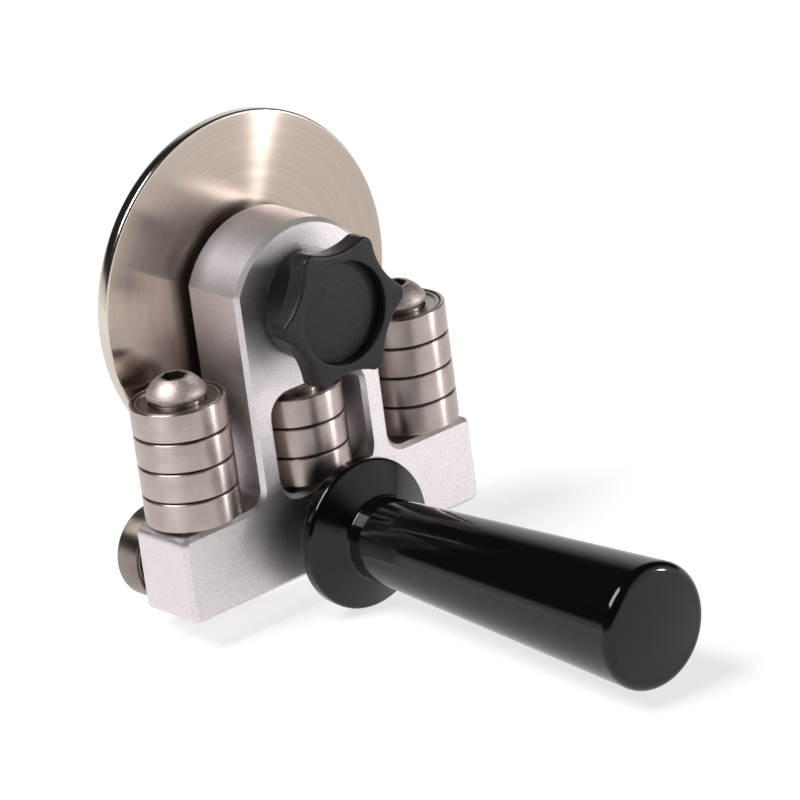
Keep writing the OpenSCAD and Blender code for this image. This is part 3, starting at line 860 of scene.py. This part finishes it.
@dataclass
class SocketScrew:
    """A screw with a hexagon socket. Its head stands on local z = 0 and its shank runs down."""

    head_r: float
    head_h: float
    flat_r: float
    shank_l: float
    shank_r: float = 4.98
    across_flats: float = 6.0
    socket_depth: float = 3.2
    rim_land: float = 0.35
    rim_share: float = 0.2
    head_edge: float = 0.6
    under_edge: float = 0.25
    dome_steps: int = 14
    segments: int = 48

    def button(self, section: Section) -> None:
        """Draws the dome of a button head, from its flat to its rim."""
        rim_h = self.head_h * self.rim_share
        rise = self.flat_r**2 - self.head_r**2 + self.head_h**2 - rim_h**2
        centre = rise / (2 * (self.head_h - rim_h))
        start = math.atan2(self.flat_r, self.head_h - centre)
        end = math.atan2(self.head_r, rim_h - centre)
        section.to(Corner(self.flat_r, self.head_h))
        section.arc(0, centre, math.degrees(end - start), self.dome_steps)

    def mesh(self, domed: bool) -> bmesh.types.BMesh:
        """Turns the screw and sinks the socket into its head.

        Args:
            domed: Whether the head is a button, or else a plain cylinder.

        Returns:
            The screw, with the socket's walls, painted dark as shade, at index 1.
        """
        socket_r = self.across_flats / math.sqrt(3)
        section = Section(Corner(socket_r + self.rim_land, self.head_h))
        if domed:
            self.button(section)
        else:
            section.to(Corner(self.head_r, self.head_h, self.head_edge))
        section.to(
            Corner(self.head_r, 0, self.under_edge),
            Corner(self.shank_r, 0),
            Corner(self.shank_r, -self.shank_l),
            Corner(0, -self.shank_l),
        )
        bm = section.turned(self.segments)
        rim = [e for e in bm.edges if e.is_boundary]
        hexagon = circle(bm, socket_r, upright(0, 0, self.head_h), 6)
        bmesh.ops.subdivide_edges(bm, edges=hexagon, cuts=self.segments // 6 - 1)
        hexagon = ring_edges([v for v in bm.verts if not v.link_faces])
        bmesh.ops.bridge_loops(bm, edges=rim + hexagon)
        bottom = push(bm, hexagon, Vector((0, 0, -self.socket_depth)))
        bmesh.ops.contextual_create(bm, geom=bottom)
        soften(bm, hexagon, EDGE_BREAK_MM, 2)
        tidy(bm)
        # the faces sunk in the socket take the painted shade of the recess
        floor = self.head_h - self.socket_depth
        for face in bm.faces:
            middle = face.calc_center_median()
            sunk = floor - NEAR_MM < middle.z < self.head_h - NEAR_MM
            face.material_index = int(sunk and middle.xy.length < socket_r)
        return bm


@dataclass
class Stacks:
    """The three stacks of bearings that press the sheet, with their screws and washers."""

    stack_x: float = 38.8
    stack_y: float = -0.5
    shoulder_z: float = 24.5
    window_z: float = 23.5
    base_washer: float = 1.2
    pitch: float = 8.5
    head_z: float = 60.2
    head_r: float = 8.1
    head_h: float = 5.2
    head_flat_r: float = 4.2
    shank_l: float = 42.9
    side_count: int = 4
    middle_count: int = 3

    def build(self, nodes: dict[str, bpy.types.Object]) -> None:
        """Adds every ring, shield and screw, and dresses what stays of the CAD."""
        bearing = Bearing()
        columns = [(side.word, side.value * self.stack_x, self.shoulder_z, self.side_count) for side in Side]
        columns.append(("middle", 0.0, self.window_z, self.middle_count))
        for word, x, floor, count in columns:
            for i in range(count):
                place = upright(x, self.stack_y, floor + self.base_washer + i * self.pitch)
                ring, shields = (f"{word}_{kind}_{i + 1}" for kind in ("ring", "shields"))
                bearing.build(place, ring, shields, f"{word}_bearing_{i + 1}", GROUND)
        screw = SocketScrew(self.head_r, self.head_h, self.head_flat_r, self.shank_l)
        for side in Side:
            place = upright(side.value * self.stack_x, self.stack_y, self.head_z)
            name = f"{side.word}_stack_screw"
            add_piece(name + "_steel", screw.mesh(True), place, [HEADED, SOCKET_SHADE], BLOCK_BODY, [name])
        for word, *_ in columns:
            dress_node(nodes, f"{word}_stack_washers", PUNCHED)
        dress_node(nodes, "stack_inner_rings", GROUND)
        dress_node(nodes, "stack_balls", RIM)
        dress_node(nodes, "stack_cages", CAGE_NYLON)


@dataclass
class Rollers:
    """The two rollers behind the block's ends, which carry the sheet."""

    roller_x: float = 38.8
    roller_y: float = 11.5
    roller_z: float = 11.5
    block_rear: float = 10.5
    head_r: float = 7.1
    head_h: float = 4.4

    def build(self, nodes: dict[str, bpy.types.Object]) -> None:
        """Adds the rollers and their shoulder screws, and dresses what stays of the CAD."""
        bearing = Bearing()
        for side in Side:
            x = side.value * self.roller_x
            place = facing_rear(x, self.roller_y, self.roller_z)
            ring, shields = (f"{side.word}_roller_{kind}" for kind in ("ring", "shields"))
            # the rollers' rings take the darker copy of the ground steel, painted shade
            bearing.build(place, ring, shields, f"{side.word}_roller", GROUND_ROLLER_SHADED)
            shank = self.roller_y + bearing.width - self.block_rear
            screw = SocketScrew(self.head_r, self.head_h, self.head_r, shank)
            head = facing_rear(x, self.roller_y + bearing.width, self.roller_z)
            name = f"{side.word}_roller_screw"
            add_piece(name, screw.mesh(False), head, [HEADED, SOCKET_SHADE], BLOCK_BODY, ["roller_screws"])
        dress_node(nodes, "roller_spacers", PUNCHED)
        dress_node(nodes, "roller_inner_rings", GROUND_ROLLER_SHADED)
        dress_node(nodes, "roller_balls", RIM)
        dress_node(nodes, "roller_cages", CAGE_NYLON)


@dataclass
class BendingDisc:
    """The turned disc with its hub, its retaining ring and its axle."""

    radius: float = 48.1
    thickness: float = 5.3
    front_edge: float = 0.8
    rear_edge: float = 2.65
    front_y: float = 13.4
    axis_z: float = 74.95
    bore_r: float = 11.22
    lip: float = 2.0
    seat_r: float = 13.02
    hub_r: float = 18.0
    hub_h: float = 12.6
    hub_fillet: float = 1.2
    hub_edge: float = 0.6
    bore_edge: float = 0.3
    groove_h: float = 10.0
    ring_t: float = 1.2
    ring_outer: float = 13.58
    ring_inner: float = 11.1
    ring_opening_deg: float = 36.0
    ring_steps: int = 80
    square_angle: float = 1.0
    lug_r: float = 1.7
    lug_hole: float = 0.7
    lug_hole_edge: float = 0.1
    lug_set_in: float = 0.2
    lug_turn_deg: float = 4.0
    lug_segments: int = 24
    axle_head_r: float = 7.1
    axle_head_h: float = 6.0
    axle_l: float = 43.4
    segments: int = 192

    def disc(self) -> bmesh.types.BMesh:
        """Turns the disc, with its rounded rim at index 1."""
        section = Section(
            Corner(self.seat_r, self.lip),
            Corner(self.bore_r, self.lip),
            Corner(self.bore_r, 0, self.bore_edge),
            Corner(self.radius, 0, self.front_edge),
            Corner(self.radius, self.thickness, self.rear_edge),
            Corner(self.hub_r, self.thickness, self.hub_fillet),
            Corner(self.hub_r, self.hub_h, self.hub_edge),
            Corner(self.seat_r, self.hub_h, self.bore_edge),
        )
        bm = section.close().turned(self.segments)
        for face in bm.faces:
            middle = face.calc_center_median()
            edge = self.front_edge if middle.z < self.thickness / 2 else self.rear_edge
            face.material_index = int(middle.xy.length > self.radius - edge)
        return bm

    def retaining_ring(self) -> bmesh.types.BMesh:
        """Makes the sprung ring, open at its ends, where the lugs go."""
        bm = bmesh.new()
        middle = (self.ring_outer + self.ring_inner) / 2
        size = Matrix.Diagonal((self.ring_outer - self.ring_inner, 1, self.ring_t, 1))
        place = upright(middle, 0, self.ring_t / 2) @ size @ Matrix.Rotation(math.radians(90), 4, "X")
        bmesh.ops.create_grid(bm, x_segments=1, y_segments=1, size=0.5, matrix=place)
        start = math.radians(90 + self.ring_opening_deg / 2)
        bmesh.ops.rotate(bm, cent=(0, 0, 0), matrix=Matrix.Rotation(start, 3, "Z"), verts=bm.verts[:])
        sweep = math.tau - math.radians(self.ring_opening_deg)
        whole = bm.verts[:] + bm.edges[:] + bm.faces[:]
        bmesh.ops.spin(bm, geom=whole, cent=(0, 0, 0), axis=(0, 0, 1), angle=sweep, steps=self.ring_steps)
        soften(bm, [e for e in bm.edges if e.calc_face_angle(0) > self.square_angle], EDGE_BREAK_MM, 2)
        tidy(bm)
        return bm

    def lug(self) -> bmesh.types.BMesh:
        """Turns one lug with its hole for the pliers."""
        return (
            Section(
                Corner(self.lug_hole, 0),
                Corner(self.lug_r, 0, EDGE_BREAK_MM),
                Corner(self.lug_r, self.ring_t, EDGE_BREAK_MM),
                Corner(self.lug_hole, self.ring_t, self.lug_hole_edge),
            )
            .close()
            .turned(self.lug_segments)
        )

    def build(self, nodes: dict[str, bpy.types.Object]) -> None:
        """Adds the disc, its retaining ring and its axle, and dresses what stays of the CAD."""
        place = facing_rear(0, self.front_y, self.axis_z)
        add_piece("disc_plate", self.disc(), place, [FACED, RIM], "disc", ["bending_disc"])
        seat = facing_rear(0, self.front_y + self.groove_h, self.axis_z)
        ring = ["disc_retaining_ring"]
        add_piece("disc_circlip", self.retaining_ring(), seat, [PRESSED], "disc", ring)
        reach = self.ring_inner - self.lug_set_in
        for side in Side:
            angle = math.radians(90 + side.value * (self.ring_opening_deg / 2 + self.lug_turn_deg))
            lug_place = seat @ upright(reach * math.cos(angle), reach * math.sin(angle), 0)
            name = f"disc_circlip_lug_{side.word}"
            add_piece(name, self.lug(), lug_place, [PRESSED], "disc", ring)
        axle = SocketScrew(self.axle_head_r, self.axle_head_h, self.axle_head_r, self.axle_l)
        add_piece("disc_axle_steel", axle.mesh(False), seat, [HEADED, SOCKET_SHADE], BLOCK_BODY, ["disc_axle"])
        dress_node(nodes, "disc_outer_ring", GROUND_ROLLER_SHADED)
        dress_node(nodes, "disc_shields", PRESSED)
        dress_node(nodes, "disc_inner_ring", GROUND_ROLLER_SHADED)
        dress_node(nodes, "disc_spacer", PUNCHED)
        dress_node(nodes, "disc_balls", RIM)
        dress_node(nodes, "disc_cage", CAGE_NYLON)


@dataclass
class ClampKnob:
    """The six-lobed knob that clamps the disc's axle."""

    base_y: float = -12.0
    axis_z: float = 74.95
    tip_r: float = 20.9
    flute_r: float = 20.0
    flute_depth: float = 4.2
    lobes: int = 6
    rest_turn: float = 2.0
    boss_r: float = 15.0
    boss_h: float = 8.7
    lobe_h: float = 6.3
    recess_r: float = 14.0
    recess: float = 2.8
    cap_t: float = 1.5
    cap_gap: float = 0.05
    cap_edge: float = 0.25
    tip_rounding: float = 1.5
    corner_angle: float = math.radians(25)
    edge: float = 0.9
    edge_steps: int = 5
    rear_edge: float = 0.7
    rear_steps: int = 3
    rim_edge: float = 0.35
    boss_fillet: float = 0.9
    washer_r: float = 12.5
    washer_bore: float = 5.2
    washer_t: float = 1.5
    flute_steps: int = 16
    segments: int = 96

    def outline(self) -> bmesh.types.BMesh:
        """Draws the knob's lobed outline, at rest.

        Returns:
            A mesh that holds the outline as one closed wire.
        """
        bm = bmesh.new()
        reach = self.tip_r - self.flute_depth + self.flute_r
        cosine = (reach**2 + self.tip_r**2 - self.flute_r**2) / (2 * reach * self.tip_r)
        half = math.acos(cosine)
        pitch = math.tau / self.lobes
        about = {"axis": (0, 0, 1)}
        start = bm.verts.new((self.tip_r * math.cos(half), self.tip_r * math.sin(half), 0))
        tip = bmesh.ops.spin(bm, geom=[start], cent=(0, 0, 0), angle=pitch - 2 * half, steps=1, **about)
        end = [g for g in tip["geom_last"] if isinstance(g, bmesh.types.BMVert)]
        centre = (reach * math.cos(pitch), reach * math.sin(pitch), 0)
        turn = 2 * math.asin(self.tip_r * math.sin(half) / self.flute_r)
        bmesh.ops.spin(bm, geom=end, cent=centre, angle=-turn, steps=self.flute_steps, **about)
        wire = bm.verts[:] + bm.edges[:]
        around = {"angle": math.tau, "steps": self.lobes, "use_duplicate": True}
        bmesh.ops.spin(bm, geom=wire, cent=(0, 0, 0), **around, **about)
        bmesh.ops.remove_doubles(bm, verts=bm.verts[:], dist=NEAR_MM)
        for vert in [v for v in bm.verts if self.is_tip_corner(v)]:
            round_corner(bm, vert, self.tip_rounding)
        rest = Matrix.Rotation(-math.radians(self.rest_turn) - pitch / 2, 3, "Z")
        bmesh.ops.rotate(bm, cent=(0, 0, 0), matrix=rest, verts=bm.verts[:])
        return bm

    def is_tip_corner(self, vert: bmesh.types.BMVert) -> bool:
        """Whether a point of the outline is where a lobe's tip meets a hollow."""
        a, b = (e.other_vert(vert).co - vert.co for e in vert.link_edges)
        return math.pi - a.angle(b) > self.corner_angle

    def slab(self) -> bmesh.types.BMesh:
        """Makes the lobed slab with its rounded edges.

        Returns:
            The slab, open at the front and at the rear.
        """
        bm = self.outline()
        front = self.boss_h + self.lobe_h
        bmesh.ops.translate(bm, vec=(0, 0, front), verts=bm.verts[:])
        face = bmesh.ops.contextual_create(bm, geom=bm.edges[:])["faces"]
        made = bmesh.ops.extrude_face_region(bm, geom=face)["geom"]
        moved = [g for g in made if isinstance(g, bmesh.types.BMVert)]
        bmesh.ops.translate(bm, vec=(0, 0, -self.lobe_h), verts=moved)
        bmesh.ops.recalc_face_normals(bm, faces=bm.faces[:])
        for h, size, steps in ((front, self.edge, self.edge_steps), (self.boss_h, self.rear_edge, self.rear_steps)):
            rim = [e for e in bm.edges if all(abs(v.co.z - h) < NEAR_MM for v in e.verts)]
            soften(bm, rim, size, steps)
        ends = [f for f in bm.faces if len(f.verts) > 4]
        bmesh.ops.delete(bm, geom=ends, context="FACES_ONLY")
        return bm

    def body(self) -> bmesh.types.BMesh:
        """Makes the lobed rim, its boss and the round recess.

        Returns:
            The knob's body, standing on local z = 0, with its smooth boss, painted darker as shade, at index 1.
        """
        front = self.boss_h + self.lobe_h
        hollows = (
            Section(
                Corner(self.recess_r + 2 * self.rim_edge, front),
                Corner(self.recess_r, front, self.rim_edge),
                Corner(self.recess_r, front - self.recess - self.cap_t),
                Corner(0, front - self.recess - self.cap_t),
            )
            .lift()
            .to(
                Corner(self.boss_r + self.boss_fillet, self.boss_h),
                Corner(self.boss_r, self.boss_h, self.boss_fillet / 2),
                Corner(self.boss_r, 0, self.rim_edge),
                Corner(0, 0),
            )
        )
        bm = joined(hollows.turned(self.segments), self.slab())
        for h in (front, self.boss_h):
            rims = [e for e in bm.edges if e.is_boundary and all(abs(v.co.z - h) < NEAR_MM for v in e.verts)]
            bmesh.ops.triangle_fill(bm, edges=rims, use_beauty=True)
        tidy(bm)
        # the boss behind the lobes takes the smoother nylon, painted darker as shade
        for face in bm.faces:
            face.material_index = int(face.calc_center_median().z < self.boss_h + NEAR_MM)
        return bm

    def cap(self) -> bmesh.types.BMesh:
        """Turns the round cap that closes the recess."""
        edge_r = self.recess_r - self.cap_gap
        return Section(
            Corner(0, 0),
            Corner(edge_r, 0),
            Corner(edge_r, self.cap_t, self.cap_edge),
            Corner(0, self.cap_t),
        ).turned(self.segments)

    def washer(self) -> bmesh.types.BMesh:
        """Turns the washer that the knob presses on the block."""
        ring = Section(
            Corner(self.washer_bore, 0),
            Corner(self.washer_r, 0, self.rim_edge),
            Corner(self.washer_r, self.washer_t, self.rim_edge),
            Corner(self.washer_bore, self.washer_t),
        )
        return ring.close().turned(self.segments)

    def build(self, nodes: dict[str, bpy.types.Object]) -> None:
        """Adds the knob, its cap and its washer, and dresses the insert inside it."""
        place = facing_front(0, self.base_y, self.axis_z)
        add_piece("knob_grip", self.body(), place, [NYLON, SMOOTH_SHADED_NYLON], "knob", ["knob_body"])
        seat = self.boss_h + self.lobe_h - self.recess - self.cap_t
        cap_place = facing_front(0, self.base_y - seat, self.axis_z)
        add_piece("knob_plug", self.cap(), cap_place, [NYLON], "knob", ["knob_cap"])
        dress_node(nodes, "knob_insert", BRASS)
        under = facing_front(0, self.base_y + self.washer_t, self.axis_z)
        washer = ["knob_washer"]
        add_piece("knob_washer_steel", self.washer(), under, [PUNCHED], "knob_carrier", washer)


@dataclass
class Handle:
    """The black handle: collar, guard and tapering grip."""

    front_y: float = -10.5
    axis_z: float = 11.2
    collar_r: float = 11.8
    collar_l: float = 9.3
    collar_edge: float = 0.3
    collar_fillet: float = 0.6
    guard_r: float = 20.7
    guard_t: float = 5.0
    guard_edge: float = 1.4
    guard_rim_share: float = 0.62
    guard_slope: float = 27.0
    grip_r: float = 11.1
    grip_end_r: float = 17.0
    grip_l: float = 108.6
    end_edge: float = 3.0
    dome_h: float = 1.2
    root_fillet: float = 0.8
    end_steps: int = 10
    segments: int = 160

    def grip(self) -> bmesh.types.BMesh:
        """Turns the handle from its collar to its domed end."""
        guard_h = self.collar_l + self.guard_t
        grip_h = guard_h + self.grip_l
        lean = math.radians(self.guard_slope)
        slope = math.tan(lean)
        taper = (self.grip_end_r - self.grip_r) / self.grip_l
        # the guard's sloping front, carried to where it meets the tapering grip
        face_r = self.guard_r - self.guard_edge * (1 - math.sin(lean))
        face_h = guard_h - self.guard_edge * (1 - math.cos(lean))
        root_r = (self.grip_r + taper * (face_h + face_r * slope - guard_h)) / (1 + taper * slope)
        root_h = face_h + (face_r - root_r) * slope
        rim_h = face_h - (self.guard_r - face_r) * slope
        rim_r = self.grip_end_r - self.end_edge
        dome_r = (rim_r**2 + self.dome_h**2) / (2 * self.dome_h)
        end_h = grip_h + self.end_edge
        section = Section(
            Corner(0, 0),
            Corner(self.collar_r, 0, self.collar_edge),
            Corner(self.collar_r, self.collar_l, self.collar_fillet),
            Corner(self.guard_r, self.collar_l, self.guard_edge),
            Corner(self.guard_r, rim_h, self.guard_edge * self.guard_rim_share),
            Corner(root_r, root_h, self.root_fillet),
            Corner(self.grip_end_r, grip_h),
        )
        section.arc(rim_r, grip_h, -90, self.end_steps)
        dome_turn = -math.degrees(math.asin(rim_r / dome_r))
        section.arc(0, end_h + self.dome_h - dome_r, dome_turn, self.end_steps)
        return section.turned(self.segments)

    def build(self, nodes: dict[str, bpy.types.Object]) -> None:
        """Adds the handle, and dresses the insert and stud inside it."""
        place = facing_front(0, self.front_y, self.axis_z)
        grip = ["handle_grip"]
        add_piece("handle_grip_phenolic", self.grip(), place, [PHENOLIC], BLOCK_BODY, grip)
        dress_node(nodes, "handle_insert", BRASS)
        dress_node(nodes, "handle_stud", HEADED)


# Studio

@dataclass
class SoftBox:
    """A soft rectangular lamp that looks at a point of the object."""

    name: str
    way: tuple[float, float, float]
    distance: float
    width: float
    height: float
    watts: float
    target: tuple[float, float, float] = (0.0, 0.0, 0.045)

    def build(self) -> None:
        """Adds the lamp."""
        lamp = bpy.data.lights.new(self.name, "AREA")
        lamp.shape = "RECTANGLE"
        lamp.size = self.width
        lamp.size_y = self.height
        lamp.energy = self.watts
        holder = bpy.data.objects.new(self.name, lamp)
        way = Vector(self.way).normalized()
        holder.location = Vector(self.target) + way * self.distance
        holder.rotation_euler = way.to_track_quat("Z", "Y").to_euler()
        bpy.context.scene.collection.objects.link(holder)
        log.info("%s: %g W", self.name, self.watts)


LAMPS = (
    # a narrow strip low on the right, which draws the streak on the disc
    SoftBox("key_softbox", way=(0.70, -0.70, 0.15), distance=1.5, width=0.03, height=0.3, watts=8.0),
    # a broad box over the left end
    SoftBox("left_softbox", way=(-0.55, 0.1, 0.83), distance=1.1, width=0.6, height=0.6, watts=14.0),
)


@dataclass
class Studio:
    """The pale floor, the soft light and the camera at the photograph's viewing angle."""

    floor_z: float = -0.0096
    floor_half: float = 4.0
    floor_colour: str = "#B6B5B4"
    floor_glow: float = 0.69
    floor_near: float = 0.2
    floor_far: float = 1.0
    sky_low: str = "#FFFFFF"
    sky_high: str = "#202022"
    rear_wall: tuple[float, float, float] = (0.62, 0.78, 0.0)
    front_wall: tuple[float, float, float] = (0.62, -0.76, 0.2)
    wall_edge: tuple[float, float] = (0.72, 0.95)
    horizon: tuple[float, float] = (0.05, 0.16)
    camera_place: tuple[float, float, float] = (-0.84770, -1.11021, 0.57641)
    elevation: float = 0.3663
    azimuth: float = 0.6722
    roll: float = -0.1333
    lens: float = 250.8
    clip_start: float = 0.01

    def floor(self) -> None:
        """Adds the floor, which is white to the camera and keeps the object's shadow."""
        bm = bmesh.new()
        bmesh.ops.create_grid(bm, x_segments=1, y_segments=1, size=self.floor_half, matrix=upright(0, 0, self.floor_z))
        mesh = bpy.data.meshes.new("floor")
        bm.to_mesh(mesh)
        bm.free()
        material = bpy.data.materials.new("pale_paper_floor")
        material.use_nodes = True
        tree = material.node_tree
        tree.nodes.clear()
        paper = add_node(tree, "ShaderNodeBsdfDiffuse", {"Color": linear(self.floor_colour)})
        path = add_node(tree, "ShaderNodeLightPath").outputs
        seen = path["Is Camera Ray"]
        for ray in ("Is Glossy Ray", "Is Transmission Ray"):
            seen = add_node(tree, "ShaderNodeMath", {0: seen, 1: path[ray]}, operation="MAXIMUM").outputs[0]
        place = add_node(tree, "ShaderNodeTexCoord").outputs["Object"]
        away = add_node(tree, "ShaderNodeVectorMath", {0: place}, operation="LENGTH").outputs["Value"]
        # the lamps light the near floor only, so the lift grows to white further out
        limits = {"From Min": self.floor_near, "From Max": self.floor_far, "To Min": self.floor_glow, "To Max": 1.0}
        glow = add_node(tree, "ShaderNodeMapRange", {"Value": away, **limits}).outputs[0]
        lift = add_node(tree, "ShaderNodeMath", {0: seen, 1: glow}, operation="MULTIPLY").outputs[0]
        white = add_node(tree, "ShaderNodeEmission", {"Strength": lift})
        both = add_node(tree, "ShaderNodeAddShader", {0: paper.outputs[0], 1: white.outputs[0]})
        add_node(tree, "ShaderNodeOutputMaterial", {"Surface": both.outputs[0]})
        mesh.materials.append(material)
        floor = bpy.data.objects.new("floor", mesh)
        bpy.context.scene.collection.objects.link(floor)

    def sky(self) -> None:
        """Adds the surroundings: white at the horizon and on two walls, and dark overhead, as in a studio."""
        world = bpy.data.worlds.new("studio")
        bpy.context.scene.world = world
        world.use_nodes = True
        tree = world.node_tree
        tree.nodes.clear()
        way = add_node(tree, "ShaderNodeTexCoord").outputs["Generated"]
        height = add_node(tree, "ShaderNodeSeparateXYZ", {0: way}).outputs["Z"]
        soft = {"interpolation_type": "SMOOTHSTEP"}
        start, end = self.horizon
        limits = {"Value": height, "From Min": start, "From Max": end, "To Min": 1.0, "To Max": 0.0}
        white = add_node(tree, "ShaderNodeMapRange", limits, **soft).outputs[0]
        start, end = self.wall_edge
        for wall in (self.rear_wall, self.front_wall):
            facing = add_node(tree, "ShaderNodeVectorMath", {0: way, 1: wall}, operation="DOT_PRODUCT")
            limits = {"Value": facing.outputs["Value"], "From Min": start, "From Max": end}
            lit = add_node(tree, "ShaderNodeMapRange", limits, **soft).outputs[0]
            white = add_node(tree, "ShaderNodeMath", {0: white, 1: lit}, operation="MAXIMUM").outputs[0]
        colours = {0: white, 6: linear(self.sky_high), 7: linear(self.sky_low)}
        colour = add_node(tree, "ShaderNodeMix", colours, data_type="RGBA").outputs[2]
        back = add_node(tree, "ShaderNodeBackground", {"Color": colour})
        add_node(tree, "ShaderNodeOutputWorld", {"Surface": back.outputs[0]})

    def camera(self) -> None:
        """Adds the camera at the photograph's viewing angle."""
        back = Vector(
            (
                -math.sin(self.azimuth) * math.cos(self.elevation),
                -math.cos(self.azimuth) * math.cos(self.elevation),
                math.sin(self.elevation),
            )
        )
        level = Vector((math.cos(self.azimuth), -math.sin(self.azimuth), 0))
        up = back.cross(level)
        right = level * math.cos(self.roll) + up * math.sin(self.roll)
        rows = (right, back.cross(right), back)
        lens = bpy.data.cameras.new("camera")
        lens.lens = self.lens
        lens.clip_start = self.clip_start
        holder = bpy.data.objects.new("camera", lens)
        holder.matrix_world = Matrix.Translation(self.camera_place) @ Matrix(rows).transposed().to_4x4()
        bpy.context.scene.collection.objects.link(holder)
        bpy.context.scene.camera = holder

    def build(self) -> None:
        """Adds the floor, the surroundings, the lamps and the camera."""
        bpy.context.scene.view_settings.view_transform = "Standard"
        self.floor()
        self.sky()
        for lamp in LAMPS:
            lamp.build()
        self.camera()


def main() -> None:
    """Loads the frame, builds the looks around it and sets up the studio."""
    logging.basicConfig(level=logging.INFO, format="%(message)s")
    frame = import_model()
    for assembly in (Block(), Stacks(), Rollers(), BendingDisc(), ClampKnob(), Handle()):
        assembly.build(frame["nodes"])
    Studio().build()


if __name__ == "__main__":
    main()
